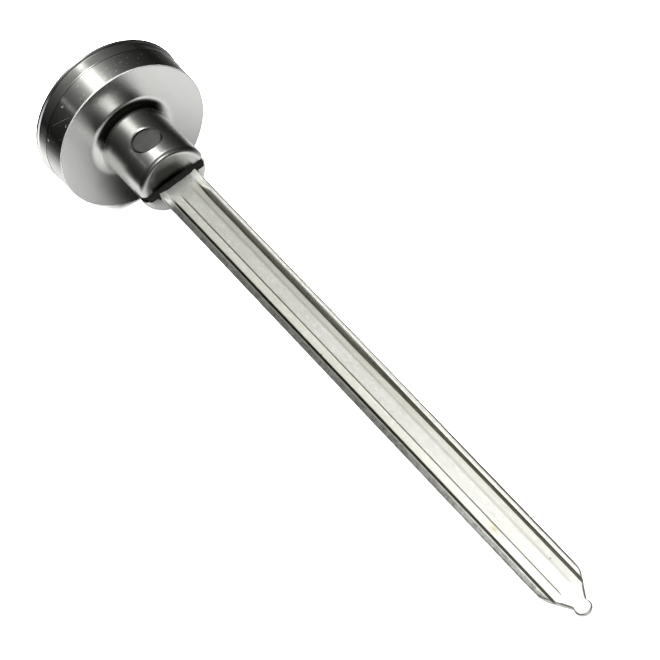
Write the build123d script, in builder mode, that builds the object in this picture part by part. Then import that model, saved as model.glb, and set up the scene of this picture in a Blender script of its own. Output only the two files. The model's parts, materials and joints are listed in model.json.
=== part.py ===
"""Dial thermometer for darkroom baths: round case, slotted boss, flat pressed stem.

Frame: +X runs along the stem from the head to the tip, the dial faces -X,
and +Z comes out of the broad face of the stem.  The origin is the centre of
the case's rear face, on the stem axis.  Millimetres.
"""
from build123d import *
import os
from math import sin, cos, radians, asin, degrees

os.makedirs("parts", exist_ok=True)

# ---------------------------------------------------------------- dimensions
CASE_R = 22.0            # case band, 44 mm dial case
CASE_BAND = 7.9          # length of the case band, rear face to shoulder
CASE_EDGE = 0.25         # bevel at the rear edge
BACK_WALL = 2.0
CAVITY_R = 19.4
NECK_R = 20.6            # neck that carries the bezel
NECK_FRONT = -10.4

BOSS_R = 9.92
BOSS_END = 22.1
BOSS_EDGE = 1.7          # rounded edge of the boss
BOSS_ROOT = 2.75         # concave fillet at the boss root
SLOT_X = 5.0             # bottom of the blade pocket
SLOT_MOUTH = 17.0        # the slot runs right across the boss from here to its end
SLOT_HALF = 1.05
POCKET_HALF = 6.2        # half width of the blade pocket behind the slot

BEZEL_R = 22.2
BEZEL_WAIST_R = 21.9     # the barrel narrows towards the bead
BEZEL_BEAD_R = 22.5
BEZEL_FRONT = -13.0
BEZEL_REAR = -8.05
BEZEL_LIP_R = 19.3

GLASS_R = 20.4
GLASS_FRONT = -12.45
GLASS_BACK = -10.95

DIAL_R = 19.0
DIAL_FACE = -6.5
DIAL_T = 0.4
PRINT_T = 0.05
SCALE_MIN, SCALE_MAX = 0, 50          # degrees Celsius
SCALE_SWEEP = 270.0                   # degrees of arc
REST_TEMP = 20.0
TICK_R = 16.6
STEP_DEG = SCALE_SWEEP / (SCALE_MAX - SCALE_MIN)
REST_ANGLE = (REST_TEMP - (SCALE_MIN + SCALE_MAX) / 2) * STEP_DEG   # clockwise from the top
OVER_TRAVEL = 10.0

POINTER_FACE = -8.55
POINTER_T = 0.25
POINTER_TIP_R = 14.3
SHAFT_R = 0.30
RUNNING = 0.04           # radial running clearance of the shaft
STOP_R = 13.0            # radius of the circle the stop pins stand on
STOP_PIN_R = 0.5

PLUG_X = 13.06
PLUG_HOLE_R = 4.1
PLUG_R = 4.05
PLUG_TOP = 9.18

BLADE_HALF = 6.05        # half width of the stem
BLADE_START = 6.0
BLADE_FLAT_END = 25.5    # end of the plain, ungrooved root
BLADE_FORMED = 31.0      # full section from here on
BLADE_CORNER = 196.8     # start of the point
BLADE_NECK = 204.6
BLADE_NECK_HALF = 2.0
NOSE_R = 2.3
NOSE_X = 205.8
LAND_Z = 0.95            # half thickness on the centre land and on the plain root
CAVITY_END = 193.0

HELIX_R = 0.45
HELIX_T = 0.10
HELIX_W = 0.72
HELIX_PITCH = 1.1
HELIX_TURNS = 14
HELIX_START = 165.6

# -------------------------------------------------------------------- case
r2 = BOSS_ROOT * (1 - cos(radians(45)))
e2 = BOSS_EDGE * sin(radians(45))
with BuildPart() as case_body:
    with BuildSketch(Plane.XY):
        with BuildLine():
            Polyline(
                (0.0, BOSS_R + BOSS_ROOT),
                (0.0, CASE_R - CASE_EDGE),
                (-CASE_EDGE, CASE_R),
                (-CASE_BAND, CASE_R),
                (-CASE_BAND, NECK_R),
                (-8.80, NECK_R),
                (-8.80, 20.13),
                (-9.40, 20.13),
                (-9.40, NECK_R),
                (NECK_FRONT, NECK_R),
                (NECK_FRONT, CAVITY_R),
                (-BACK_WALL, CAVITY_R),
                (-BACK_WALL, 1.5),
                (1.0, 1.5),
                (1.0, 1.0),
                (SLOT_X + 0.5, 1.0),
                (SLOT_X + 0.5, 0.0),
                (BOSS_END, 0.0),
                (BOSS_END, BOSS_R - BOSS_EDGE),
            )
            ThreePointArc(
                (BOSS_END, BOSS_R - BOSS_EDGE),
                (BOSS_END - BOSS_EDGE + e2, BOSS_R - BOSS_EDGE + e2),
                (BOSS_END - BOSS_EDGE, BOSS_R),
            )
            Line((BOSS_END - BOSS_EDGE, BOSS_R), (BOSS_ROOT, BOSS_R))
            ThreePointArc((BOSS_ROOT, BOSS_R), (r2, BOSS_R + r2), (0.0, BOSS_R + BOSS_ROOT))
        make_face()
    revolve(axis=Axis.X)
    # slot right across the end of the boss
    with BuildSketch(Plane.YZ.offset(SLOT_MOUTH)):
        Rectangle(2 * BOSS_R + 4, 2 * SLOT_HALF)
    extrude(amount=BOSS_END - SLOT_MOUTH + 1, mode=Mode.SUBTRACT)
    # pocket behind the slot that takes the root of the flat stem
    with BuildSketch(Plane.YZ.offset(SLOT_X)):
        Rectangle(2 * POCKET_HALF, 2 * SLOT_HALF)
    extrude(amount=SLOT_MOUTH - SLOT_X + 0.5, mode=Mode.SUBTRACT)
    # cross hole for the two retaining plugs
    with BuildSketch(Plane.XY.offset(BOSS_R + 2)):
        with Locations((PLUG_X, 0)):
            Circle(PLUG_HOLE_R)
    extrude(amount=-2 * (BOSS_R + 2), mode=Mode.SUBTRACT)
    mouths = [e for e in case_body.edges()
              if abs(e.bounding_box().center().X - PLUG_X) < 0.5
              and abs(e.bounding_box().center().Z) > 9.0 and e.length > 20]
    chamfer(mouths, 0.30)
    # tapped holes for the dial posts, open to the cavity only
    with BuildSketch(Plane.YZ.offset(-BACK_WALL)):
        with Locations((9.0, 0), (-9.0, 0)):
            Circle(0.9)
    extrude(amount=1.1, mode=Mode.SUBTRACT)
case_body.part.label = "case_body"

# ------------------------------------------------------------------- bezel
with BuildPart() as bezel_ring:
    with BuildSketch(Plane.XY):
        with BuildLine():
            Polyline(
                (BEZEL_REAR, 20.65),
                (BEZEL_REAR, BEZEL_R - 0.10),
                (BEZEL_REAR - 0.10, BEZEL_R),
                (-11.75, BEZEL_WAIST_R),
                (-11.95, BEZEL_WAIST_R),
                (-12.15, BEZEL_R + 0.10),
            )
            ThreePointArc((-12.15, BEZEL_R + 0.10), (-12.50, BEZEL_BEAD_R), (-12.86, BEZEL_R + 0.10))
            Polyline(
                (-12.86, BEZEL_R + 0.10),
                (BEZEL_FRONT, BEZEL_R - 0.35),
                (BEZEL_FRONT, BEZEL_LIP_R + 0.9),
                (GLASS_FRONT - 0.20, BEZEL_LIP_R),
                (GLASS_FRONT, BEZEL_LIP_R),
                (GLASS_FRONT, 20.45),
                (NECK_FRONT, 20.45),
                (NECK_FRONT, 20.65),
                (BEZEL_REAR, 20.65),
            )
        make_face()
    revolve(axis=Axis.X)
bezel_ring.part.label = "bezel_ring"

with BuildPart() as bezel_o_ring:
    with BuildSketch(Plane.XY):
        with Locations((-9.10, 20.39)):
            Circle(0.26)
    revolve(axis=Axis.X)
bezel_o_ring.part.label = "bezel_o_ring"

with BuildPart() as crystal:
    with BuildSketch(Plane.YZ.offset(GLASS_FRONT)):
        Circle(GLASS_R)
    extrude(amount=GLASS_BACK - GLASS_FRONT)
    chamfer(crystal.edges().filter_by(GeomType.CIRCLE), 0.15)
crystal.part.label = "crystal"

with BuildPart() as crystal_gasket:
    with BuildSketch(Plane.YZ.offset(GLASS_BACK)):
        Circle(GLASS_R)
        Circle(19.5, mode=Mode.SUBTRACT)
    extrude(amount=NECK_FRONT - GLASS_BACK)
crystal_gasket.part.label = "crystal_gasket"

# -------------------------------------------------------------------- dial
with BuildPart() as dial_spacer_ring:
    with BuildSketch(Plane.YZ.offset(GLASS_BACK)):
        Circle(CAVITY_R - 0.02)
        Circle(18.55, mode=Mode.SUBTRACT)
    extrude(amount=DIAL_FACE - GLASS_BACK)
    chamfer(dial_spacer_ring.edges().group_by(Axis.X)[0].sort_by(SortBy.RADIUS)[0:1], 0.4)
dial_spacer_ring.part.label = "dial_spacer_ring"

with BuildPart() as dial_plate:
    with BuildSketch(Plane.YZ.offset(DIAL_FACE)):
        Circle(DIAL_R)
        Circle(1.8, mode=Mode.SUBTRACT)
        with Locations((9.0, 0), (-9.0, 0)):
            Circle(0.75, mode=Mode.SUBTRACT)
    extrude(amount=DIAL_T)
dial_plate.part.label = "dial_plate"

with BuildPart() as dial_scale_marks:
    with BuildSketch(Plane.YZ.offset(DIAL_FACE - PRINT_T)):
        with BuildLine():
            outer = CenterArc((0, 0), TICK_R + 0.20, -45, SCALE_SWEEP)
            inner = CenterArc((0, 0), TICK_R, -45, SCALE_SWEEP)
            Line(outer @ 0, inner @ 0)
            Line(outer @ 1, inner @ 1)
        make_face()
        for i in range(SCALE_MAX - SCALE_MIN + 1):
            long = 2.2 if i % 10 == 0 else 1.7 if i % 5 == 0 else 1.1
            wide = 0.36 if i % 10 == 0 else 0.26 if i % 5 == 0 else 0.18
            a = -45 + i * STEP_DEG
            r = TICK_R + 0.1 - long / 2
            with Locations(Location((r * cos(radians(a)), r * sin(radians(a)), 0), (0, 0, a))):
                Rectangle(long, wide)
    extrude(amount=PRINT_T)
dial_scale_marks.part.label = "dial_scale_marks"

# coloured arc over the usual working range, 18 to 24 degrees
with BuildPart() as dial_range_arc:
    z0 = -45 + (SCALE_MAX - 24) * STEP_DEG
    with BuildSketch(Plane.YZ.offset(DIAL_FACE - PRINT_T)):
        with BuildLine():
            outer = CenterArc((0, 0), TICK_R + 1.15, z0, 6 * STEP_DEG)
            inner = CenterArc((0, 0), TICK_R + 0.45, z0, 6 * STEP_DEG)
            Line(outer @ 0, inner @ 0)
            Line(outer @ 1, inner @ 1)
        make_face()
    extrude(amount=PRINT_T)
dial_range_arc.part.label = "dial_range_arc"

# two posts screwed into the back wall carry the dial
with BuildPart() as dial_posts:
    with BuildSketch(Plane.YZ.offset(DIAL_FACE + DIAL_T)):
        with Locations((9.0, 0), (-9.0, 0)):
            Circle(1.7)
    extrude(amount=-BACK_WALL - (DIAL_FACE + DIAL_T))
    with BuildSketch(Plane.YZ.offset(-BACK_WALL)):
        with Locations((9.0, 0), (-9.0, 0)):
            Circle(0.88)
    extrude(amount=1.0)
    with BuildSketch(Plane.YZ.offset(DIAL_FACE + DIAL_T)):
        with Locations((9.0, 0), (-9.0, 0)):
            Circle(0.62)
    extrude(amount=2.6, mode=Mode.SUBTRACT)
dial_posts.part.label = "dial_posts"

with BuildPart() as dial_screws:
    with BuildSketch(Plane.YZ.offset(DIAL_FACE)):
        with Locations((9.0, 0), (-9.0, 0)):
            Circle(1.25)
    extrude(amount=-0.55)
    chamfer(dial_screws.edges().group_by(Axis.X)[0], 0.15)
    with BuildSketch(Plane.YZ.offset(DIAL_FACE)):
        with Locations((9.0, 0), (-9.0, 0)):
            Circle(0.60)
    extrude(amount=2.6)
    with BuildSketch(Plane.YZ.offset(DIAL_FACE - 0.55)):
        with Locations(Location((9.0, 0, 0), (0, 0, 35)), Location((-9.0, 0, 0), (0, 0, -20))):
            Rectangle(3.0, 0.35)
    extrude(amount=0.28, mode=Mode.SUBTRACT)
dial_screws.part.label = "dial_screws"

# pins that stop the pointer just past each end of the scale
stop_gap = degrees(asin((STOP_PIN_R + 0.36 + 0.25) / STOP_R))
stop_angle = SCALE_SWEEP / 2 + OVER_TRAVEL + stop_gap
with BuildPart() as pointer_stops:
    with BuildSketch(Plane.YZ.offset(DIAL_FACE)):
        for s in (-1, 1):
            with Locations((s * STOP_R * sin(radians(stop_angle)), STOP_R * cos(radians(stop_angle)))):
                Circle(STOP_PIN_R)
    extrude(amount=-2.6)
    chamfer(pointer_stops.edges().group_by(Axis.X)[0], 0.12)
pointer_stops.part.label = "pointer_stops"

# ------------------------------------------------------- pointer and shaft
pointer_plane = Plane(
    origin=(POINTER_FACE, 0, 0),
    x_dir=(0, -sin(radians(REST_ANGLE)), cos(radians(REST_ANGLE))),
    z_dir=(1, 0, 0),
)
with BuildPart() as pointer:
    with BuildSketch(pointer_plane):
        Circle(1.9)
        with BuildLine():
            Polyline(
                (POINTER_TIP_R, 0.0),
                (POINTER_TIP_R - 0.7, 0.14),
                (2.5, 0.55),
                (0.0, 0.70),
                (-4.6, 0.95),
                (-5.0, 0.60),
                (-5.0, -0.60),
                (-4.6, -0.95),
                (0.0, -0.70),
                (2.5, -0.55),
                (POINTER_TIP_R - 0.7, -0.14),
                close=True,
            )
        make_face()
        Circle(1.0, mode=Mode.SUBTRACT)
    extrude(amount=POINTER_T)
pointer.part.label = "pointer"

with BuildPart() as pointer_hub:
    with BuildSketch(Plane.XY):
        with BuildLine():
            Polyline(
                (-8.95, SHAFT_R),
                (-8.95, 0.90),
                (-8.85, 1.00),
                (POINTER_FACE + POINTER_T, 1.00),
                (POINTER_FACE + POINTER_T, 1.50),
                (-7.80, 1.50),
                (-7.80, 0.80),
                (-6.90, 0.65),
                (-6.90, SHAFT_R),
                close=True,
            )
        make_face()
    revolve(axis=Axis.X)
pointer_hub.part.label = "pointer_hub"

with BuildPart() as pointer_cap:
    with BuildSketch(Plane.XY):
        with BuildLine():
            Polyline((-9.62, 0.45), (-9.62, 0.0), (-8.95, 0.0), (-8.95, 1.25), (-9.12, 1.25))
            ThreePointArc((-9.12, 1.25), (-9.44, 0.98), (-9.62, 0.45))
        make_face()
    revolve(axis=Axis.X)
pointer_cap.part.label = "pointer_cap"

with BuildPart() as pointer_shaft:
    with BuildSketch(Plane.YZ.offset(-8.95)):
        Circle(SHAFT_R)
    extrude(amount=167.0 + 8.95)
pointer_shaft.part.label = "pointer_shaft"

# two collars hold the shaft endways against the bearing bush
with BuildPart() as shaft_collars:
    with BuildSketch(Plane.YZ.offset(-3.35)):
        Circle(1.1)
        Circle(SHAFT_R, mode=Mode.SUBTRACT)
    extrude(amount=0.6)
    with BuildSketch(Plane.YZ.offset(1.25)):
        Circle(0.72)
        Circle(SHAFT_R, mode=Mode.SUBTRACT)
    extrude(amount=0.8)
shaft_collars.part.label = "shaft_collars"

with BuildPart() as bearing_bush:
    with BuildSketch(Plane.XY):
        with BuildLine():
            Polyline(
                (-2.55, SHAFT_R + RUNNING),
                (-2.55, 2.2),
                (-BACK_WALL, 2.2),
                (-BACK_WALL, 1.5),
                (1.0, 1.5),
                (1.0, SHAFT_R + RUNNING),
                close=True,
            )
        make_face()
    revolve(axis=Axis.X)
bearing_bush.part.label = "bearing_bush"

# -------------------------------------------------------------------- stem
# upper half sections, from one edge of the stem to the other, (y, z)
full_half = [
    (1.50, LAND_Z), (1.68, 0.74), (3.62, 0.69), (4.08, 0.20), (4.46, 0.58),
    (4.80, 0.78), (5.12, 0.84), (5.45, 0.78), (5.74, 0.60), (5.95, 0.33), (BLADE_HALF, 0.0),
]
flat_half = [
    (1.50, LAND_Z), (1.68, LAND_Z), (3.98, LAND_Z), (4.08, LAND_Z), (4.18, LAND_Z),
    (4.80, LAND_Z), (5.20, LAND_Z), (5.55, LAND_Z), (5.82, 0.80), (5.98, 0.45), (BLADE_HALF, 0.0),
]
full_pts = [(-y, z) for y, z in reversed(full_half)] + full_half
flat_pts = [(-y, z) for y, z in reversed(flat_half)] + flat_half

with BuildPart() as stem_face_shell:
    # plain root
    with BuildSketch(Plane.YZ.offset(BLADE_START)):
        with BuildLine():
            Polyline(*flat_pts, close=True)
        make_face()
    extrude(amount=BLADE_FLAT_END - BLADE_START)
    # run-in from the plain root to the pressed section
    with BuildSketch(Plane.YZ.offset(BLADE_FLAT_END)) as s0:
        with BuildLine():
            Polyline(*flat_pts, close=True)
        make_face()
    with BuildSketch(Plane.YZ.offset(BLADE_FORMED)) as s1:
        with BuildLine():
            Polyline(*full_pts, close=True)
        make_face()
    loft(sections=[s0.sketch, s1.sketch], ruled=True)
    # pressed section with the centre land, two side grooves and rolled edges
    with BuildSketch(Plane.YZ.offset(BLADE_FORMED)):
        with BuildLine():
            Polyline(*full_pts, close=True)
        make_face()
    extrude(amount=210.0 - BLADE_FORMED)
    # outline in plan: parallel sides, pointed end, round nose
    with BuildSketch(Plane.XY.offset(-1)) as outline:
        with BuildLine():
            Polyline(
                (BLADE_START, -BLADE_HALF),
                (BLADE_CORNER, -BLADE_HALF),
                (BLADE_NECK, -BLADE_NECK_HALF),
                (BLADE_NECK, BLADE_NECK_HALF),
                (BLADE_CORNER, BLADE_HALF),
                (BLADE_START, BLADE_HALF),
                close=True,
            )
        make_face()
        fillet([v for v in outline.vertices() if abs(v.X - BLADE_CORNER) < 0.1], 1.6)
        with Locations((NOSE_X, 0)):
            Circle(NOSE_R)
    extrude(amount=4, mode=Mode.INTERSECT)
    # the point is pressed a little thinner towards the nose
    with BuildSketch(Plane.XZ.offset(-8)):
        with BuildLine():
            Polyline((198.0, LAND_Z), (204.0, 0.62), (209.0, 0.52), (211.0, 2.0), (198.0, 2.0), close=True)
        make_face()
    extrude(amount=16, mode=Mode.SUBTRACT)
    # hollow for the shaft and the bimetal helix
    with BuildSketch(Plane.YZ.offset(BLADE_START)):
        Rectangle(6.6, 0.76)
        Rectangle(2.7, 1.30)
    extrude(amount=CAVITY_END - BLADE_START, mode=Mode.SUBTRACT)
stem_face_shell.part.label = "stem_face_shell"

with BuildPart() as stem_rear_shell:
    mirror(stem_face_shell.part, about=Plane.XY)
stem_rear_shell.part.label = "stem_rear_shell"

with BuildPart() as stem_plug_face:
    with BuildSketch(Plane.XY.offset(LAND_Z)):
        with Locations((PLUG_X, 0)):
            Circle(PLUG_R)
    extrude(amount=PLUG_TOP - LAND_Z)
    fillet(stem_plug_face.edges().group_by(Axis.Z)[-1], 0.30)
stem_plug_face.part.label = "stem_plug_face"

with BuildPart() as stem_plug_rear:
    mirror(stem_plug_face.part, about=Plane.XY)
stem_plug_rear.part.label = "stem_plug_rear"

# sealing compound round the stem at the mouth of the slot
with BuildPart() as stem_seal:
    with BuildSketch(Plane.YZ.offset(17.6)):
        Rectangle(18.4, 2 * SLOT_HALF)
        with BuildLine():
            Polyline(*flat_pts, *[(y, -z) for y, z in reversed(flat_pts[1:-1])], close=True)
        make_face(mode=Mode.SUBTRACT)
    extrude(amount=21.3 - 17.6)
stem_seal.part.label = "stem_seal"

# ------------------------------------------------- bearings inside the stem
with BuildPart() as shaft_guides:
    for x in (62.0, 150.0):
        with BuildSketch(Plane.YZ.offset(x)):
            Rectangle(2.7, 1.30)
            Circle(SHAFT_R + RUNNING, mode=Mode.SUBTRACT)
        extrude(amount=3.0)
shaft_guides.part.label = "shaft_guides"

with BuildPart() as helix_collar:
    with BuildSketch(Plane.YZ.offset(HELIX_START - 0.9)):
        Circle(HELIX_R - HELIX_T / 2 - 0.01)
        Circle(SHAFT_R, mode=Mode.SUBTRACT)
    extrude(amount=2.3)
helix_collar.part.label = "helix_collar"

with BuildPart() as bimetal_helix:
    with BuildLine() as coil:
        Helix(pitch=HELIX_PITCH, height=HELIX_PITCH * HELIX_TURNS, radius=HELIX_R,
              center=(HELIX_START, 0, 0), direction=(1, 0, 0))
    start = coil.line @ 0
    with BuildSketch(Plane(origin=start, x_dir=(0, start.Y, start.Z), z_dir=coil.line % 0)):
        Rectangle(HELIX_T, HELIX_W)
    sweep(is_frenet=True)
bimetal_helix.part.label = "bimetal_helix"

helix_end = HELIX_START + HELIX_PITCH * HELIX_TURNS
with BuildPart() as helix_anchor:
    with BuildSketch(Plane.YZ.offset(helix_end - 1.2)):
        Circle(HELIX_R - HELIX_T / 2 - 0.01)
    extrude(amount=2.2)
    with BuildSketch(Plane.YZ.offset(helix_end + 1.0)):
        Rectangle(2.7, 1.30)
    extrude(amount=3.0)
helix_anchor.part.label = "helix_anchor"

# ------------------------------------------------------------------ output
export_step(case_body.part, "parts/case_body.step")
export_step(bezel_ring.part, "parts/bezel_ring.step")
export_step(bezel_o_ring.part, "parts/bezel_o_ring.step")
export_step(crystal.part, "parts/crystal.step")
export_step(crystal_gasket.part, "parts/crystal_gasket.step")
export_step(dial_spacer_ring.part, "parts/dial_spacer_ring.step")
export_step(dial_plate.part, "parts/dial_plate.step")
export_step(dial_scale_marks.part, "parts/dial_scale_marks.step")
export_step(dial_range_arc.part, "parts/dial_range_arc.step")
export_step(dial_posts.part, "parts/dial_posts.step")
export_step(dial_screws.part, "parts/dial_screws.step")
export_step(pointer_stops.part, "parts/pointer_stops.step")
export_step(pointer.part, "parts/pointer.step")
export_step(pointer_hub.part, "parts/pointer_hub.step")
export_step(pointer_cap.part, "parts/pointer_cap.step")
export_step(pointer_shaft.part, "parts/pointer_shaft.step")
export_step(shaft_collars.part, "parts/shaft_collars.step")
export_step(bearing_bush.part, "parts/bearing_bush.step")
export_step(stem_face_shell.part, "parts/stem_face_shell.step")
export_step(stem_rear_shell.part, "parts/stem_rear_shell.step")
export_step(stem_plug_face.part, "parts/stem_plug_face.step")
export_step(stem_plug_rear.part, "parts/stem_plug_rear.step")
export_step(stem_seal.part, "parts/stem_seal.step")
export_step(shaft_guides.part, "parts/shaft_guides.step")
export_step(helix_collar.part, "parts/helix_collar.step")
export_step(bimetal_helix.part, "parts/bimetal_helix.step")
export_step(helix_anchor.part, "parts/helix_anchor.step")
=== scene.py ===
import json
import math

import bpy
import bmesh
import numpy as np
from mathutils import Matrix, Vector, noise


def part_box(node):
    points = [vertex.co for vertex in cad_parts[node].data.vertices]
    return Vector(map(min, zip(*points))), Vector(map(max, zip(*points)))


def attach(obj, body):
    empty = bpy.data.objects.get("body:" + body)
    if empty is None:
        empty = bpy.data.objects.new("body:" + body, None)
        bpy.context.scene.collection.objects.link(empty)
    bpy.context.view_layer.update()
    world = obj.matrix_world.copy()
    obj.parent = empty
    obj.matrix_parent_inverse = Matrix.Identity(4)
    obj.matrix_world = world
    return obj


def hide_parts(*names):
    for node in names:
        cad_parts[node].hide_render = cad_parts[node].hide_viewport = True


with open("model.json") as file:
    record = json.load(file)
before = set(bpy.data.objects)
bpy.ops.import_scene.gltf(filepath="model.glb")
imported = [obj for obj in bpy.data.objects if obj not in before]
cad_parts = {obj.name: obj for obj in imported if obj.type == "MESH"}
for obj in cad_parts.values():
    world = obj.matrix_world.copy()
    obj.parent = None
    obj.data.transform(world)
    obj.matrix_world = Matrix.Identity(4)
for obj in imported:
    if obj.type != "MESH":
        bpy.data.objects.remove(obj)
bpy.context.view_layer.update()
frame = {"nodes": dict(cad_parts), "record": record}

MM = 0.001
scene = bpy.context.scene

# ------------------------------------------------------------------ node help


class Mat:
    """A small helper that writes one procedural material."""

    def __init__(self, name):
        self.m = bpy.data.materials.new(name)
        self.m.use_nodes = True
        self.t = self.m.node_tree
        self.t.nodes.clear()
        self.out = self.n("ShaderNodeOutputMaterial")
        self.b = self.n("ShaderNodeBsdfPrincipled")
        self.l(self.b.outputs[0], self.out.inputs["Surface"])
        self.co = self.n("ShaderNodeTexCoord").outputs["Object"]

    def n(self, kind, **props):
        node = self.t.nodes.new(kind)
        for k, v in props.items():
            setattr(node, k, v)
        return node

    def l(self, a, b):
        self.t.links.new(a, b)

    def put(self, socket, v):
        if hasattr(v, "is_output") or isinstance(v, bpy.types.NodeSocket):
            self.l(v, socket)
        else:
            socket.default_value = v

    def math(self, op, a, b=None, c=None, clamp=False):
        node = self.n("ShaderNodeMath", operation=op, use_clamp=clamp)
        self.put(node.inputs[0], a)
        if b is not None:
            self.put(node.inputs[1], b)
        if c is not None:
            self.put(node.inputs[2], c)
        return node.outputs[0]

    def xyz(self, v=None):
        node = self.n("ShaderNodeSeparateXYZ")
        self.l(self.co if v is None else v, node.inputs[0])
        return node.outputs

    def vec(self, x, y, z):
        node = self.n("ShaderNodeCombineXYZ")
        for s, v in zip(node.inputs, (x, y, z)):
            self.put(s, v)
        return node.outputs[0]

    def scaled(self, sx, sy, sz, v=None):
        node = self.n("ShaderNodeMapping")
        self.l(self.co if v is None else v, node.inputs["Vector"])
        node.inputs["Scale"].default_value = (sx, sy, sz)
        return node.outputs[0]

    def noise(self, vec, scale=1.0, detail=3.0, rough=0.5, distortion=0.0):
        node = self.n("ShaderNodeTexNoise")
        self.l(vec, node.inputs["Vector"])
        node.inputs["Scale"].default_value = scale
        node.inputs["Detail"].default_value = detail
        node.inputs["Roughness"].default_value = rough
        node.inputs["Distortion"].default_value = distortion
        return node.outputs[0]

    def ramp(self, fac, stops, interp="LINEAR"):
        node = self.n("ShaderNodeValToRGB")
        node.color_ramp.interpolation = interp
        els = node.color_ramp.elements
        while len(els) < len(stops):
            els.new(0.5)
        for e, (p, c) in zip(els, stops):
            e.position = p
            e.color = (c, c, c, 1) if isinstance(c, (int, float)) else (*c, 1)
        self.put(node.inputs[0], fac)
        return node.outputs[0]

    def mix(self, fac, a, b, blend="MIX"):
        node = self.n("ShaderNodeMix", data_type="RGBA", blend_type=blend)
        self.put(node.inputs[0], fac)
        for s, v in ((node.inputs[6], a), (node.inputs[7], b)):
            if isinstance(v, (tuple, list)):
                v = (*v, 1) if len(v) == 3 else v
            self.put(s, v)
        return node.outputs[2]

    def remap(self, v, a, b, c, d, smooth=False):
        node = self.n("ShaderNodeMapRange")
        if smooth:
            node.interpolation_type = "SMOOTHSTEP"
        self.put(node.inputs[0], v)
        for i, x in enumerate((a, b, c, d)):
            self.put(node.inputs[i + 1], x)
        return node.outputs[0]

    def bump(self, height, strength, distance, normal=None):
        node = self.n("ShaderNodeBump")
        node.inputs["Strength"].default_value = strength
        node.inputs["Distance"].default_value = distance
        self.l(height, node.inputs["Height"])
        if normal is not None:
            self.l(normal, node.inputs["Normal"])
        return node.outputs[0]

    def set(self, **kw):
        for k, v in kw.items():
            name = {"color": "Base Color", "metal": "Metallic", "rough": "Roughness", "ior": "IOR",
                    "aniso": "Anisotropic", "aniso_rot": "Anisotropic Rotation", "normal": "Normal",
                    "trans": "Transmission Weight", "coat": "Coat Weight", "coat_rough": "Coat Roughness",
                    "spec": "Specular IOR Level", "sheen": "Sheen Weight", "tangent": "Tangent"}[k]
            if k == "color" and isinstance(v, (tuple, list)):
                v = (*v, 1)
            self.put(self.b.inputs[name], v)
        return self

    def axis_radius(self):
        """Distance from the stem axis, in metres, and x."""
        x, y, z = self.xyz()
        r = self.math("SQRT", self.math("ADD", self.math("MULTIPLY", y, y), self.math("MULTIPLY", z, z)))
        return x, y, z, r

    def ring_lines(self, r, x, per_mm=14.0, wobble=None):
        """Height of fine turning marks that run round the X axis."""
        c = self.vec(self.math("MULTIPLY", x, 1000.0 * per_mm), self.math("MULTIPLY", r, 1000.0 * per_mm), 0.0)
        return self.noise(c, 1.0, 2.0, 0.6)


# ------------------------------------------------------------------ materials


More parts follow.
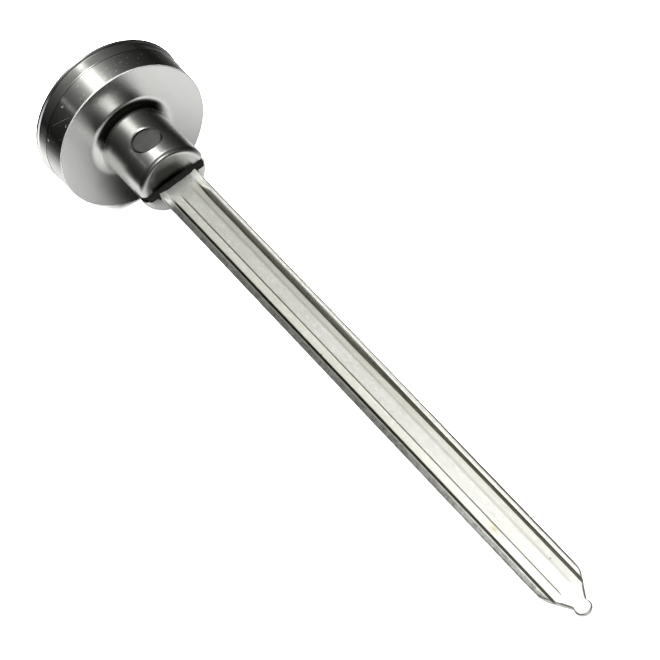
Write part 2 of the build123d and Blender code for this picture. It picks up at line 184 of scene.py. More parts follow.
def steel_turned():
    """The case: satin turned rear face, brighter band, fine-turned boss."""
    s = Mat("turned_steel")
    x, y, z, r = s.axis_radius()
    lines = s.ring_lines(r, x, 12.0)
    broad = s.ring_lines(r, x, 2.2)
    cloud = s.noise(s.co, 260.0, 4.0, 0.55)
    fine = s.noise(s.co, 2600.0, 2.0, 0.6)
    face = s.math("MULTIPLY", s.remap(x, -0.0003, -0.0001, 0.0, 1.0), s.remap(x, 0.0002, 0.0009, 1.0, 0.0))
    face = s.math("MULTIPLY", face, s.remap(r, 0.0105, 0.0125, 0.0, 1.0))
    band = s.remap(r, 0.0216, 0.0218, 0.0, 1.0)
    end = s.remap(x, 0.0212, 0.0220, 0.0, 1.0)
    base = s.mix(s.remap(cloud, 0.3, 0.7, 0.0, 1.0), (0.64, 0.64, 0.62), (0.61, 0.615, 0.60))
    olive = s.mix(s.math("MULTIPLY", band, 0.55), base, (0.50, 0.51, 0.47))
    # painted shade: the end face is darkened round the slot, more on one side than the other
    sy = s.math("MULTIPLY", s.math("ADD", y, 0.0018), 1.0)
    sz = s.math("SUBTRACT", z, 0.0022)
    sd = s.math("SQRT", s.math("ADD", s.math("MULTIPLY", sy, sy), s.math("MULTIPLY", sz, sz)))
    sd = s.math("ADD", sd, s.math("MULTIPLY", s.math("SUBTRACT", cloud, 0.5), 0.003))
    slot_shade = s.math("MULTIPLY", s.remap(sd, 0.0034, 0.0088, 1.0, 0.0, True), s.remap(x, 0.0214, 0.0219, 0.0, 1.0))
    olive = s.mix(s.math("MULTIPLY", slot_shade, 0.95), olive, (0.030, 0.031, 0.028))
    # painted shade just above the slot mouth: near black, fading out upwards and to the sides
    slot_mouth_shade = s.math("MULTIPLY", s.remap(z, 0.0010, 0.0034, 1.0, 0.0, True), s.remap(x, 0.0216, 0.0220, 0.0, 1.0))
    slot_mouth_shade = s.math("MULTIPLY", slot_mouth_shade, s.remap(s.math("ABSOLUTE", s.math("ADD", y, 0.001)), 0.0026, 0.0048, 1.0, 0.0, True))
    olive = s.mix(s.math("MULTIPLY", slot_mouth_shade, s.remap(z, -0.0009, -0.0005, 0.0, 0.96)), olive, (0.006, 0.006, 0.005))
    # painted shade: the upper half of the boss root is painted near black, standing in for shade and dark reflection in
    # the fillet
    crease_shade = s.math("MULTIPLY", s.remap(x, 0.00006, 0.00035, 0.0, 1.0), s.remap(x, 0.0018, 0.0027, 1.0, 0.0))
    crease_shade = s.math("MULTIPLY", crease_shade, s.remap(r, 0.0130, 0.0125, 0.0, 1.0))
    above = s.math("DIVIDE", s.math("ADD", s.math("MULTIPLY", y, 0.09), z), r)
    crease_shade = s.math("MULTIPLY", crease_shade, s.remap(above, 0.30, 0.62, 0.0, 1.0, True))
    olive = s.mix(s.math("MULTIPLY", crease_shade, 0.985), olive, (0.008, 0.008, 0.005))
    # painted highlight along the rear bevel, with a little wear: lighter, rougher and a little less metallic
    worn = s.math("MULTIPLY", s.remap(x, -0.00034, -0.00022, 0.0, 1.0), s.remap(r, 0.02172, 0.02180, 0.0, 1.0))
    worn = s.math("MULTIPLY", worn, s.remap(x, -0.00003, 0.00001, 1.0, 0.0))
    olive = s.mix(worn, olive, (0.92, 0.92, 0.90))
    # handling marks, short smudges on the band
    marks = s.noise(s.scaled(1.0, 1.0, 1.0), 900.0, 3.0, 0.7, 0.6)
    marks = s.math("MULTIPLY", s.remap(marks, 0.58, 0.70, 0.0, 1.0), band)
    dents = 0.0
    for dx, ang, w in ((-6.0, -33.0, 0.45), (-1.1, -41.0, 0.40), (-1.0, -21.0, 0.30), (-6.9, -62.0, 0.40)):
        cy, cz = 22.0 * math.sin(math.radians(ang)), 22.0 * math.cos(math.radians(ang))
        d = s.n("ShaderNodeVectorMath", operation="DISTANCE")
        s.l(s.co, d.inputs[0])
        d.inputs[1].default_value = (dx * MM, cy * MM, cz * MM)
        dents = s.math("ADD", dents, s.remap(d.outputs["Value"], 0.25 * w * MM, w * MM, 1.0, 0.0, True))
    # one long scratch across the band
    ang = s.math("ARCTAN2", y, z)
    run = s.math("SUBTRACT", ang, s.math("ADD", math.radians(-50.0), s.math("MULTIPLY", s.math("ADD", x, 0.0066), 52.0)))
    scratch = s.remap(s.math("ABSOLUTE", run), 0.0030, 0.0085, 1.0, 0.0)
    scratch = s.math("MULTIPLY", scratch, s.math("MULTIPLY", s.remap(x, -0.0068, -0.0062, 0.0, 1.0), s.remap(x, -0.0016, -0.0011, 1.0, 0.0)))
    scratch = s.math("MULTIPLY", scratch, band)
    olive = s.mix(s.math("MULTIPLY", scratch, 0.5), olive, (0.85, 0.84, 0.78))
    rough = s.math("ADD", s.math("MULTIPLY", face, 0.04), 0.15)
    rough = s.math("ADD", rough, s.math("MULTIPLY", end, 0.10))
    rough = s.math("ADD", rough, s.math("MULTIPLY", crease_shade, 0.35))
    rough = s.math("ADD", rough, s.math("MULTIPLY", worn, 0.30))
    rough = s.math("SUBTRACT", rough, s.math("MULTIPLY", band, 0.07))
    rough = s.math("ADD", rough, s.math("MULTIPLY", s.math("SUBTRACT", lines, 0.5), 0.10))
    rough = s.math("ADD", rough, s.math("MULTIPLY", marks, 0.24), clamp=True)
    rough = s.math("ADD", rough, s.math("MULTIPLY", scratch, 0.30), clamp=True)
    h = s.math("ADD", s.math("MULTIPLY", lines, 1.0), s.math("MULTIPLY", broad, 0.5))
    n1 = s.bump(h, 0.30, 0.00003)
    n2 = s.bump(s.math("ADD", fine, s.math("MULTIPLY", marks, 0.9)), 0.14, 0.00002, n1)
    n2 = s.bump(s.math("SUBTRACT", 1.0, dents), 0.9, 0.00030, n2)
    tan = s.n("ShaderNodeTangent", direction_type="RADIAL", axis="X")
    s.set(color=olive, metal=s.math("SUBTRACT", 1.0, s.math("MULTIPLY", worn, 0.10)), rough=rough, aniso=0.75, normal=n2, tangent=tan.outputs[0])
    return s.m


def steel_polished():
    """The bezel: polished, with light handling marks."""
    s = Mat("polished_steel")
    x, y, z, r = s.axis_radius()
    lines = s.ring_lines(r, x, 10.0)
    cloud = s.noise(s.co, 180.0, 4.0, 0.6)
    spots = s.remap(s.noise(s.co, 1500.0, 3.0, 0.6), 0.66, 0.76, 0.0, 1.0)
    base = s.mix(s.remap(cloud, 0.3, 0.7, 0.0, 1.0), (0.90, 0.90, 0.88), (0.80, 0.80, 0.77))
    rough = s.math("ADD", s.math("MULTIPLY", lines, 0.05), 0.05)
    rough = s.math("ADD", rough, s.math("MULTIPLY", spots, 0.18), clamp=True)
    n1 = s.bump(lines, 0.15, 0.00002)
    tan = s.n("ShaderNodeTangent", direction_type="RADIAL", axis="X")
    s.set(color=base, metal=1.0, rough=rough, aniso=0.4, normal=n1, tangent=tan.outputs[0])
    return s.m


def steel_pressed():
    """The stem: satin cold-rolled sheet with lengthwise grain, mottling and water marks, with painted shade in the
    grooves.
    """
    s = Mat("pressed_steel")
    x, y, z = s.xyz()
    a = s.math("ABSOLUTE", y)
    grain = s.noise(s.scaled(60.0, 5200.0, 5200.0), 1.0, 3.0, 0.6)
    grain2 = s.noise(s.scaled(14.0, 1500.0, 1500.0), 1.0, 2.0, 0.5)
    mottle = s.noise(s.scaled(1.0, 1.5, 1.5), 620.0, 4.0, 0.7, 0.5)
    cloud = s.noise(s.co, 60.0, 3.0, 0.5)
    warm = s.mix(s.remap(cloud, 0.35, 0.65, 0.0, 1.0), (0.600, 0.597, 0.560), (0.640, 0.638, 0.612))
    warm = s.mix(s.math("MULTIPLY", s.remap(mottle, 0.50, 0.72, 0.0, 1.0), 0.45), warm, (0.74, 0.74, 0.73))
    dull = s.remap(s.noise(s.scaled(1.0, 1.3, 1.3), 430.0, 3.0, 0.6, 0.6), 0.56, 0.72, 0.0, 1.0)
    warm = s.mix(s.math("MULTIPLY", dull, 0.35), warm, (0.47, 0.465, 0.42))
    flats = s.math("MULTIPLY", s.remap(a, 0.0015, 0.0020, 0.0, 1.0), s.remap(a, 0.0048, 0.0052, 1.0, 0.0))
    warm = s.mix(s.math("MULTIPLY", flats, 0.65), warm, s.mix(1.0, warm, (0.97, 0.965, 0.88), "MULTIPLY"))
    fleck = s.remap(s.noise(s.scaled(1.0, 1.6, 1.6), 520.0, 5.0, 0.75, 1.2), 0.52, 0.66, 0.0, 1.0)
    fleck = s.math("MULTIPLY", fleck, s.math("SUBTRACT", 1.0, flats))
    fleck = s.math("MULTIPLY", fleck, s.remap(x, 0.085, 0.150, 0.75, 0.20))
    warm = s.mix(fleck, warm, (0.88, 0.875, 0.85))
    # darker towards the head, lighter towards the tip
    warm = s.mix(s.remap(x, 0.025, 0.170, 0.66, 0.16), warm, (0.33, 0.33, 0.305))
    warm = s.mix(s.remap(x, 0.130, 0.205, 0.0, 0.40), warm, (0.84, 0.84, 0.82))
    # a brown water mark on the face, near the tip
    mx = s.math("MULTIPLY", s.math("SUBTRACT", x, 0.1732), 260.0)
    my = s.math("MULTIPLY", s.math("ADD", y, 0.0025), 800.0)
    spot = s.math("SQRT", s.math("ADD", s.math("MULTIPLY", mx, mx), s.math("MULTIPLY", my, my)))
    spot = s.math("MULTIPLY", s.remap(spot, 0.25, 1.0, 1.0, 0.0, True), s.remap(mottle, 0.35, 0.62, 0.0, 1.0))
    warm = s.mix(s.math("MULTIPLY", spot, 0.80), warm, (0.46, 0.42, 0.27))
    # a speck near the tip and a nick half way along
    for px, py, pr in ((0.1900, 0.00224, 0.00034), (0.0998, -0.0038, 0.00040)):
        d = s.n("ShaderNodeVectorMath", operation="DISTANCE")
        s.l(s.vec(x, y, 0.0), d.inputs[0])
        d.inputs[1].default_value = (px, py, 0.0)
        warm = s.mix(s.remap(d.outputs["Value"], 0.3 * pr, pr, 0.8, 0.0, True), warm, (0.10, 0.095, 0.08))
    # painted shade: dark in the grooves, darker on one side than the other, and a thin dark line along the land's
    # steps, darker on one side
    worn = s.remap(grain2, 0.25, 0.75, 0.00012, -0.00012)
    right = s.remap(y, -0.0002, 0.0002, 0.0, 1.0)
    mid = s.math("SUBTRACT", 0.00424, s.math("MULTIPLY", right, s.remap(x, 0.100, 0.170, 0.00052, 0.00014)))
    off = s.math("ABSOLUTE", s.math("SUBTRACT", a, s.math("ADD", mid, worn)))
    crease_shade = s.math("MULTIPLY", s.remap(off, 0.00010, 0.00052, 1.0, 0.0, True), s.remap(x, 0.0262, 0.0300, 0.0, 1.0))
    crease_shade = s.math("MULTIPLY", crease_shade, s.remap(x, 0.090, 0.190, 1.0, 0.62))
    step_shade = s.remap(s.math("ABSOLUTE", s.math("SUBTRACT", a, 0.00160)), 0.00004, 0.00036, 1.0, 0.0, True)
    step_shade = s.math("MULTIPLY", step_shade, s.remap(x, 0.0255, 0.0310, 0.0, 1.0))
    step_shade = s.math("MULTIPLY", step_shade, s.remap(x, 0.060, 0.190, 0.44, 0.06))
    step_shade = s.math("MULTIPLY", step_shade, s.remap(y, -0.0002, 0.0002, 0.85, 0.10))
    warm = s.mix(step_shade, warm, (0.22, 0.215, 0.185))
    thick = s.remap(s.noise(s.scaled(180.0, 30.0, 30.0), 1.0, 3.0, 0.6), 0.35, 0.65, 0.80, 0.95)
    warm = s.mix(s.math("MULTIPLY", crease_shade, thick), warm, s.mix(right, (0.050, 0.050, 0.038), (0.200, 0.190, 0.135)))
    # pale haze of old sealant smeared over the root of the stem
    haze = s.math("MULTIPLY", s.remap(x, 0.0250, 0.0300, 1.0, 0.0, True), s.remap(mottle, 0.30, 0.62, 0.75, 1.0))
    warm = s.mix(haze, warm, s.mix(s.remap(x, 0.0245, 0.0285, 0.0, 1.0), (0.36, 0.36, 0.34), (0.50, 0.50, 0.48)))
    # rolled edges are scuffed
    scuff = s.noise(s.scaled(430.0, 700.0, 700.0), 1.0, 4.0, 0.7)
    edge = s.math("MULTIPLY", s.remap(a, 0.0045, 0.0050, 0.0, 1.0), s.remap(scuff, 0.42, 0.60, 0.0, 1.0))
    edge = s.math("MULTIPLY", edge, s.remap(y, -0.0002, 0.0002, 1.0, 0.35))
    warm = s.mix(s.math("MULTIPLY", edge, 0.55), warm, (0.22, 0.22, 0.20))
    chip = s.remap(s.noise(s.scaled(420.0, 900.0, 900.0), 1.0, 3.0, 0.7), 0.60, 0.70, 0.0, 1.0)
    chip = s.math("MULTIPLY", chip, s.math("MULTIPLY", s.remap(a, 0.0046, 0.0050, 0.0, 1.0), s.remap(x, 0.090, 0.180, 0.15, 1.0)))
    warm = s.mix(s.math("MULTIPLY", chip, 0.8), warm, (0.95, 0.95, 0.93))
    # the flat middle is darker, less so towards the tip
    land_darkening = s.math("MULTIPLY", s.remap(a, 0.0037, 0.0042, 1.0, 0.0), s.remap(x, 0.045, 0.160, 0.29, 0.14))
    warm = s.mix(land_darkening, warm, (0.0, 0.0, 0.0))
    rough = s.math("ADD", s.math("MULTIPLY", grain, 0.16), 0.23)
    rough = s.math("ADD", rough, s.math("MULTIPLY", s.math("SUBTRACT", mottle, 0.5), 0.25))
    rough = s.math("ADD", rough, s.math("MULTIPLY", crease_shade, 0.2), clamp=True)
    h = s.math("ADD", s.math("MULTIPLY", grain, 0.7), s.math("MULTIPLY", grain2, 0.5))
    n1 = s.bump(h, 0.25, 0.00002)
    n2 = s.bump(mottle, 0.16, 0.00008, n1)
    s.set(color=warm, metal=s.math("SUBTRACT", 1.0, s.math("MULTIPLY", haze, 0.22)), rough=rough, normal=n2)
    return s.m


def steel_plug():
    """The retaining plugs: darker satin ends."""
    s = Mat("plug_steel")
    a = s.noise(s.co, 2200.0, 3.0, 0.6)
    c = s.noise(s.co, 300.0, 3.0, 0.6)
    base = s.mix(s.remap(c, 0.3, 0.7, 0.0, 1.0), (0.060, 0.062, 0.062), (0.090, 0.092, 0.090))
    rough = s.math("ADD", s.math("MULTIPLY", a, 0.16), 0.30)
    s.set(color=base, metal=1.0, rough=rough, normal=s.bump(a, 0.2, 0.00003))
    return s.m


def simple_metal(name, a, b, rough, scale=900.0):
    s = Mat(name)
    c = s.noise(s.co, scale, 3.0, 0.6)
    f = s.noise(s.co, scale * 6, 2.0, 0.6)
    s.set(color=s.mix(c, a, b), metal=1.0, rough=s.math("ADD", s.math("MULTIPLY", f, 0.14), rough - 0.07),
          normal=s.bump(f, 0.12, 0.00002))
    return s.m


def simple_coat(name, a, b, rough, bump=0.1, scale=700.0, spec=0.5):
    s = Mat(name)
    c = s.noise(s.co, scale, 4.0, 0.6)
    f = s.noise(s.co, scale * 5, 2.0, 0.6)
    s.set(color=s.mix(c, a, b), metal=0.0, rough=s.math("ADD", s.math("MULTIPLY", f, 0.12), rough - 0.06),
          normal=s.bump(f, bump, 0.00003), spec=spec)
    return s.m


def glass():
    s = Mat("crystal_glass")
    smear = s.noise(s.co, 120.0, 4.0, 0.6, 0.5)
    s.set(color=(0.97, 0.985, 0.98), metal=0.0, trans=1.0, ior=1.5,
          rough=s.remap(smear, 0.45, 0.85, 0.0, 0.05))
    return s.m


MATERIALS = {
    "turned_steel": steel_turned(),
    "polished_steel": steel_polished(),
    "pressed_steel": steel_pressed(),
    "plug_steel": steel_plug(),
    "plated_steel": simple_metal("plated_steel", (0.66, 0.66, 0.66), (0.74, 0.74, 0.73), 0.18),
    "seal_rubber": simple_coat("seal_rubber", (0.018, 0.018, 0.018), (0.035, 0.035, 0.034), 0.6, 0.3),
    "slot_sealant": simple_coat("slot_sealant", (0.0022, 0.0022, 0.0022), (0.006, 0.006, 0.0055), 0.8, 0.5, 900.0, 0.10),
    "crystal_glass": glass(),
    "black_enamel": simple_coat("black_enamel", (0.018, 0.018, 0.02), (0.03, 0.03, 0.03), 0.35, 0.08),
    "dial_white": simple_coat("dial_white", (0.80, 0.80, 0.76), (0.86, 0.86, 0.83), 0.38, 0.06, 300.0),
    "print_black": simple_coat("print_black", (0.015, 0.015, 0.015), (0.03, 0.03, 0.03), 0.5),
    "print_colour": simple_coat("print_colour", (0.55, 0.05, 0.03), (0.62, 0.08, 0.05), 0.5),
    "brass": simple_metal("brass", (0.72, 0.52, 0.22), (0.80, 0.60, 0.28), 0.26),
    "bimetal": simple_metal("bimetal", (0.50, 0.46, 0.40), (0.60, 0.56, 0.50), 0.3),
    "guide_plastic": simple_coat("guide_plastic", (0.78, 0.78, 0.74), (0.84, 0.84, 0.80), 0.45),
}
SLOT_OF = {p["node"]: p["material_slot"] for p in frame["record"]["subparts"]}
for name, obj in frame["nodes"].items():
    m = MATERIALS[SLOT_OF[name]]
    if len(obj.material_slots) == 0:
        obj.data.materials.append(m)
    for slot in obj.material_slots:
        slot.material = m

# ------------------------------------------------------------------- the stem
HALF = 6.05
LAND = 0.95
X0, X_FLAT, X_FORM = 6.0, 25.5, 31.0
X_CORNER, X_NECK, X_NOSE, R_NOSE = 196.8, 204.6, 205.8, 2.3
NECK_HALF = 2.0
CAV_END = 193.0


def smin(a, b, k):
    h = np.clip(0.5 + 0.5 * (b - a) / k, 0, 1)
    return b * (1 - h) + a * h - k * h * (1 - h)


def smax(a, b, k):
    return -smin(-a, -b, k)


def sstep(a, b, v):
    t = np.clip((v - a) / (b - a), 0, 1)
    return t * t * (3 - 2 * t)


def plan_half(x):
    """Half width of the stem's outline at x."""
    x = np.asarray(x, float)
    w = np.full_like(x, HALF)
    slope = (NECK_HALF - HALF) / (X_NECK - X_CORNER)
    taper = HALF + slope * (x - X_CORNER)
    w = smin(w, taper, 0.9)
    nose = np.sqrt(np.maximum(R_NOSE ** 2 - (x - X_NOSE) ** 2, 0.0))
    w = np.where(x > X_NOSE, nose, np.maximum(np.where(x > X_NECK + 0.05, 0.0, w), np.where(x > X_NOSE - R_NOSE, nose, 0.0)))
    return w


def top_height(x, y):
    """Height of the visible face above the mid plane, in mm."""
    a = np.abs(y)
    ramp = np.clip((x - X_FLAT) / (X_FORM - X_FLAT), 0, 1)
    ramp = sstep(0, 1, ramp) * 0.4 + ramp * 0.6
    # rolled edge, a half round that opens up from the plain root
    edge_r = np.where(y < 0, 0.50 + 0.42 * ramp, 0.36 + (0.04 + 0.40 * sstep(110, 165, x)) * ramp)
    edge_h = LAND - 0.10 * ramp
    d = np.clip(HALF - a, 0, None)
    lip = edge_h * np.sqrt(np.clip(1 - (1 - np.minimum(d / edge_r, 1)) ** 2, 0, 1))
    land = 0.95
    band = LAND - np.where(y < 0, 0.235, 0.12) * ramp - 0.02 * ramp * np.clip(a - 1.6, 0, 2)
    centre = np.where(a < 1.58, land, band)
    step = np.where(y < 0, sstep(1.28, 2.02, a), sstep(0.75, 2.15, a))
    centre = land * (1 - step) + band * step
    near = 1 - sstep(100, 170, x)
    mid = np.where(y < 0, 4.22, 4.14 - 0.34 * near)
    # outside the groove the rolled edge falls off outwards, more on one side than on the other
    fall = np.where(y < 0, 0.38 - 0.10 * sstep(120, 180, x), 0.07) * ramp
    rim = LAND - 0.03 * ramp - fall * np.clip(a - 4.45, 0, None)
    flat = np.where(a < mid - 0.06, centre, rim)
    base = smin(flat, lip, 0.05)
    # the groove's outer bank is long and rounded on one side, short and steep on the other
    out = np.clip(a - mid, 0, None)
    bank = np.where(y < 0, 1.75, 1.75 - 1.28 * near)
    soft = np.where(y < 0, 0.06, 0.06 + 0.16 * near)
    groove = 0.22 + 0.13 * np.where(y < 0, 0, near) + 1.75 * np.clip(mid - 0.06 - a, 0, None) + bank * out + 1.25 * (1 - sstep(X_FLAT - 0.6, X_FORM + 2.5, x))
    z = smin(base, groove, soft)
    return z


def stem_mesh(name, sign, seed):
    # columns follow the section closely at the land edges, the grooves and the rolled edges
    ys = np.concatenate([
        np.linspace(0, 1.42, 9)[:-1], np.linspace(1.42, 1.80, 8)[:-1], np.linspace(1.80, 3.40, 8)[:-1],
        np.linspace(3.40, 4.80, 24)[:-1], np.linspace(4.80, 5.40, 7)[:-1],
        HALF - (HALF - 5.40) * (1 - np.sin(np.linspace(0, math.pi / 2, 14)))])
    ys = np.concatenate([-ys[::-1], ys[1:]])
    xs = np.concatenate([
        np.linspace(X0, X_FLAT - 1.0, 22)[:-1], np.linspace(X_FLAT - 1.0, X_FORM + 3.5, 44)[:-1],
        np.linspace(X_FORM + 3.5, X_CORNER - 1.5, 190)[:-1], np.linspace(X_CORNER - 1.5, X_NECK - 0.3, 46)[:-1],
        np.linspace(X_NECK - 0.3, X_NOSE, 16)[:-1],
        X_NOSE + R_NOSE * np.sin(np.linspace(0, math.pi / 2, 22))])
    w = plan_half(xs)
    w[-1] = 0.0
    nx, ny = len(xs), len(ys)
    Y = np.clip(ys[None, :], -w[:, None], w[:, None])
    X = np.repeat(xs[:, None], ny, 1)
    Z = top_height(X, Y)
    # pressed thinner towards the nose, with a rounded cut edge
    t = np.interp(X, [196.5, 204.0, 208.2], [LAND, 0.60, 0.50])
    Z = np.where(X > 196.5, smin(Z, t, 0.03), Z)
    d = np.clip(w[:, None] - np.abs(Y), 0, None)
    dn = np.where(X > X_NOSE, np.clip(R_NOSE - np.hypot(X - X_NOSE, Y), 0, None), d)
    cut = np.minimum(np.where(X > X_CORNER - 3, dn, 9.0), 9.0)
    re = 0.38
    roll = np.sqrt(np.clip(1 - (1 - np.minimum(cut / re, 1)) ** 2, 0, 1))
    Z = np.where(X > X_CORNER - 3, Z * roll, Z)
    # slight waviness of pressed sheet, and small dents
    wave = np.zeros_like(Z)
    for i in range(nx):
        for j in range(0, ny):
            if Z[i, j] > 0.3:
                p = Vector((X[i, j] * 0.11, Y[i, j] * 0.35, seed))
                wave[i, j] = 0.010 * noise.noise(p) + 0.004 * noise.noise(p * 3.7)
    Z = np.maximum(Z + wave * sstep(0.3, 0.6, Z), 0.0)
    Z = np.minimum(Z, LAND)
    edge = np.abs(Y) >= w[:, None] - 1e-9
    Z = np.where(edge, 0.0, Z)
    # underside: the mating face, with the hollow for the shaft and helix
    B = np.where(np.abs(Y) < 1.36, 0.65, np.where(np.abs(Y) < 3.3, 0.38, 0.0))
    B = np.where(X < CAV_END, B, 0.0)
    B = np.minimum(B, np.maximum(Z - 0.12, 0.0))
    bm = bmesh.new()
    top = [[bm.verts.new((X[i, j] * MM, Y[i, j] * MM, sign * Z[i, j] * MM)) for j in range(ny)] for i in range(nx)]
    bot = [[bm.verts.new((X[i, j] * MM, Y[i, j] * MM, sign * B[i, j] * MM)) for j in range(ny)] for i in range(nx)]
    for i in range(nx - 1):
        for j in range(ny - 1):
            bm.faces.new((top[i][j], top[i + 1][j], top[i + 1][j + 1], top[i][j + 1]))
            bm.faces.new((bot[i][j], bot[i][j + 1], bot[i + 1][j + 1], bot[i + 1][j]))
    for j in range(ny - 1):
        bm.faces.new((top[0][j], top[0][j + 1], bot[0][j + 1], bot[0][j]))
    bmesh.ops.remove_doubles(bm, verts=bm.verts, dist=2e-6)
    bmesh.ops.dissolve_degenerate(bm, edges=bm.edges, dist=1e-7)
    bmesh.ops.recalc_face_normals(bm, faces=bm.faces)
    me = bpy.data.meshes.new(name)
    bm.to_mesh(me)
    bm.free()
    o = bpy.data.objects.new(name, me)
    scene.collection.objects.link(o)
    me.materials.append(MATERIALS["pressed_steel"])
    me.shade_smooth()
    me.set_sharp_from_angle(angle=math.radians(50))
    return o


face = stem_mesh("stem_face_sheet", 1, 3.1)
rear = stem_mesh("stem_rear_sheet", -1, 9.7)
for o, node in ((face, "stem_face_shell"), (rear, "stem_rear_shell")):
    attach(o, "housing")
    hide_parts(node)

# ----------------------------------------------------------- the sealant bead, also standing in for shade at the slot mouth


def sealant_and_shade_bead():
    """A bead of black sealant squeezed out of the slot, round the root of the stem; it also stands in for the shade in
    the slot mouth.
    """
    ys = np.concatenate([np.linspace(-8.9, -8.2, 10)[:-1], np.linspace(-8.2, 8.2, 110)[:-1], np.linspace(8.2, 8.9, 10)])
    ts = np.linspace(-math.pi / 2, math.pi / 2, 25)
    bm = bmesh.new()
    rows = []
    for y in ys:
        a = abs(y)
        end = math.sqrt(max(1 - max((a - 8.2) / 0.7, 0.0) ** 2, 0.0))
        over = float(1 - sstep(6.0, 6.7, a))
        crown = float(1 - sstep(3.6, 5.6, a))
        lump = 0.10 * noise.noise(Vector((y * 0.55, 3.3, 0.0))) + 0.05 * noise.noise(Vector((y * 1.9, 8.1, 0.0)))
        px = (1.55 + 1.42 * over + lump * 1.3) * (0.25 + 0.75 * end)
        pz = (1.00 + 0.06 * over + 0.22 * crown + lump * 0.35) * (0.12 + 0.88 * end)
        mid = -0.22 * (1 - over)
        row = []
        for t in ts:
            row.append(bm.verts.new(((21.7 + px * math.cos(t) ** 0.62) * MM, y * MM, (mid + pz * math.sin(t)) * MM)))
        rows.append(row)
    n = len(ts)
    for i in range(len(rows) - 1):
        for j in range(n - 1):
            bm.faces.new((rows[i][j], rows[i][j + 1], rows[i + 1][j + 1], rows[i + 1][j]))
        bm.faces.new((rows[i][0], rows[i + 1][0], rows[i + 1][n - 1], rows[i][n - 1]))
    for row in (rows[0], rows[-1]):
        bm.faces.new(row)
    bmesh.ops.recalc_face_normals(bm, faces=bm.faces)
    me = bpy.data.meshes.new("sealant_and_shade_bead")
    bm.to_mesh(me)
    bm.free()
    o = bpy.data.objects.new("sealant_and_shade_bead", me)
    scene.collection.objects.link(o)
    me.materials.append(MATERIALS["slot_sealant"])
    me.shade_smooth()
    me.set_sharp_from_angle(angle=math.radians(50))
    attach(o, "housing")


sealant_and_shade_bead()

# ------------------------------------------------------------------ the dial
FACE_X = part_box("dial_plate")[0][0]


def dial_text(body, size, r, deg, name):
    """A flat printed figure on the dial, upright for someone who looks along +X."""
    cu = bpy.data.curves.new(name + "_curve", "FONT")
    cu.body = body
    cu.size = size
    cu.align_x = "CENTER"
    cu.align_y = "CENTER"
    cu.extrude = 0.025 * MM
    cu.resolution_u = 6
    tmp = bpy.data.objects.new(name + "_tmp", cu)
    scene.collection.objects.link(tmp)
    bpy.context.view_layer.update()
    me = bpy.data.meshes.new_from_object(tmp)
    bpy.data.objects.remove(tmp)
    a = math.radians(deg)
    # reader's right is -Y and up is +Z
    rot = Matrix(((0, 0, -1), (-1, 0, 0), (0, 1, 0))).to_4x4()
    place = Matrix.Translation((FACE_X - 0.026 * MM, -r * math.sin(a), r * math.cos(a)))
    me.transform(place @ rot)
    me.materials.clear()
    me.materials.append(MATERIALS["print_black"])
    o = bpy.data.objects.new(name, me)
    scene.collection.objects.link(o)
    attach(o, "housing")
    return o


for k in range(6):
    dial_text(str(k * 10), 3.3 * MM, 12.0 * MM, -135 + 54 * k, f"dial_figure_{k * 10}")
dial_text("°C", 2.6 * MM, 6.4 * MM, 180, "dial_unit")

# --------------------------------------------------------------------- stage


def plane(name, centre, normal, size_x, size_y, mat):
    me = bpy.data.meshes.new(name)
    s, t = size_x / 2, size_y / 2
    me.from_pydata([(-s, -t, 0), (s, -t, 0), (s, t, 0), (-s, t, 0)], [], [(0, 1, 2, 3)])
    o = bpy.data.objects.new(name, me)
    o.matrix_world = Matrix.Translation(centre) @ Vector(normal).to_track_quat("Z", "Y").to_matrix().to_4x4()
    scene.collection.objects.link(o)
    me.materials.append(mat)
    return o


fl = Mat("floor_white")
# the sheet is white round the object and falls away to a dark room further out;
# the dark room only shows in the steel
fx, fy, fz = fl.xyz(fl.n("ShaderNodeNewGeometry").outputs["Position"])
out_x = fl.math("ADD", fl.math("MAXIMUM", fl.math("SUBTRACT", 0.0, fx), 0.0),
                fl.math("MAXIMUM", fl.math("SUBTRACT", fx, 0.21), 0.0))
out_y = fl.math("ADD", fl.math("MULTIPLY", fl.math("MAXIMUM", fy, 0.0), 1.6),
                fl.math("MULTIPLY", fl.math("MAXIMUM", fl.math("SUBTRACT", 0.0, fy), 0.0), 0.75))
far = fl.math("SQRT", fl.math("ADD", fl.math("MULTIPLY", out_x, out_x), fl.math("MULTIPLY", out_y, out_y)))
sheet = fl.ramp(fl.math("MULTIPLY", far, 3.3333),
                [(0.0, 0.20), (0.145, 0.20), (0.20, 0.122), (0.285, 0.036), (0.43, 0.011), (1.0, 0.0035)])
# painted shadow: the sheet is darkened under the boss, where the head shades it; it shows only in the steel
nx = fl.math("DIVIDE", fl.math("SUBTRACT", fx, 0.006), 0.017)
ny = fl.math("DIVIDE", fl.math("ADD", fy, 0.001), 0.0125)
boss_shadow_dist = fl.math("SQRT", fl.math("ADD", fl.math("MULTIPLY", nx, nx), fl.math("MULTIPLY", ny, ny)))
sheet = fl.mix(fl.remap(boss_shadow_dist, 0.55, 1.15, 0.88, 0.0, True), sheet, (0.0, 0.0, 0.0))
glossy = fl.n("ShaderNodeLightPath").outputs["Is Glossy Ray"]
fl.set(color=fl.mix(glossy, (0.95, 0.95, 0.945), sheet), rough=0.9, spec=0.0)
lowest = Vector((-0.0127, 0, -0.02251))
tip = Vector((0.2075, 0, -0.00052))
along = (tip - lowest).normalized()
up = Vector((-along.z, 0, along.x)).normalized()
plane("floor", lowest + along * 0.1, up, 3.2, 3.2, fl.m)

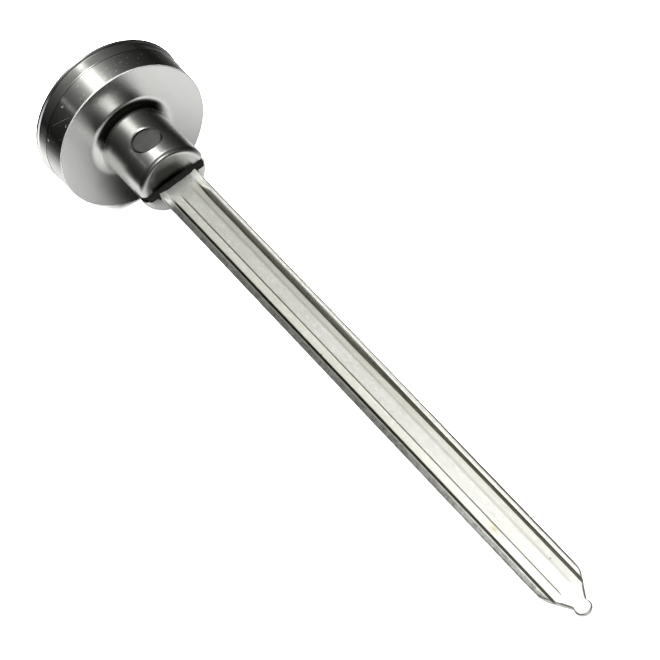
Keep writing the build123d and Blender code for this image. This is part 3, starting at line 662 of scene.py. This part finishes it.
# -------------------------------------------------------------------- camera
RIGHT = Vector((0.53598, 0.79596, -0.28138))
DOWN = Vector((0.55868, -0.58428, -0.58864))
FORWARD = Vector((-0.63294, 0.1583, -0.75785))
cam = bpy.data.cameras.new("camera")
cam.sensor_width = 36.0
cam.lens = 3449.5 / 660 * 36.0
cam.clip_start, cam.clip_end = 0.01, 50.0
cam_o = bpy.data.objects.new("camera", cam)
scene.collection.objects.link(cam_o)
m = Matrix.Identity(3)
m.col[0], m.col[1], m.col[2] = RIGHT, -DOWN, -FORWARD
m = m.to_quaternion().to_matrix()
cam_o.matrix_world = Matrix.Translation((0.6384, -0.1338, 0.6512)) @ m.to_4x4()
scene.camera = cam_o

# -------------------------------------------------------------------- lights


def area(name, loc, target, sx, sy, power, color=(1, 1, 1)):
    li = bpy.data.lights.new(name, "AREA")
    li.shape = "RECTANGLE"
    li.size, li.size_y = sx, sy
    li.energy = power
    li.color = color
    o = bpy.data.objects.new(name, li)
    d = (Vector(target) - Vector(loc)).normalized()
    o.matrix_world = Matrix.Translation(loc) @ d.to_track_quat("-Z", "Y").to_matrix().to_4x4()
    scene.collection.objects.link(o)
    return o


fill = area("floor_fill", (0.10, 0.05, 1.5), (0.10, 0.0, 0.0), 2.6, 2.6, 230.0)
fill.visible_glossy = False

# the room: a broad soft light over the head end, dark towards the horizon
world = bpy.data.worlds.new("world")
world.use_nodes = True
scene.world = world
wt = world.node_tree
wt.nodes.clear()


class Room(Mat):
    def __init__(self, tree):
        self.t = tree


room = Room(wt)
w_out = room.n("ShaderNodeOutputWorld")
w_bg = room.n("ShaderNodeBackground")
room.l(w_bg.outputs[0], w_out.inputs["Surface"])
direction = room.n("ShaderNodeTexCoord").outputs["Generated"]
KEY = Vector((-0.465, 0.05, 0.884)).normalized()
SECOND = Vector((0.69, 0.02, 0.72)).normalized()


def glow(centre, width_deg, level):
    """A soft round patch of light in one direction of the room."""
    d = room.n("ShaderNodeVectorMath", operation="DOT_PRODUCT")
    room.l(direction, d.inputs[0])
    d.inputs[1].default_value = centre
    ang = room.math("ARCCOSINE", room.math("MINIMUM", d.outputs["Value"], 1.0))
    q = room.math("DIVIDE", ang, math.radians(width_deg))
    return room.math("MULTIPLY", room.math("EXPONENT", room.math("MULTIPLY", room.math("MULTIPLY", q, q), -1.0)), level)


light = room.math("ADD", glow(KEY, 14.0, 2.8), glow(KEY, 24.0, 0.5))
light = room.math("ADD", light, glow(KEY, 42.0, 0.20))
light = room.math("ADD", light, glow(Vector((-0.69, 0.0, 0.72)).normalized(), 6.5, 1.4))
light = room.math("ADD", light, glow(SECOND, 10.0, 3.0))
light = room.math("ADD", light, glow(Vector((-0.60, 0.0, 0.80)).normalized(), 3.2, 2.6))
light = room.math("ADD", light, glow(Vector((-0.745, 0.05, 0.65)).normalized(), 4.5, 3.5))
light = room.math("ADD", light, glow(Vector((0.76, 0.10, 0.64)).normalized(), 4.0, 3.5))
light = room.math("ADD", light, glow(SECOND, 32.0, 0.30))
light = room.math("ADD", light, glow(Vector((-0.70, -0.53, 0.49)).normalized(), 2.2, 0.6))
light = room.math("ADD", light, 0.012)
room.l(light, w_bg.inputs["Strength"])
w_bg.inputs["Color"].default_value = (1.0, 1.0, 0.985, 1)

scene.view_settings.view_transform = "Standard"
scene.view_settings.look = "None"
scene.view_settings.exposure = 0.0
scene.view_settings.gamma = 1.0
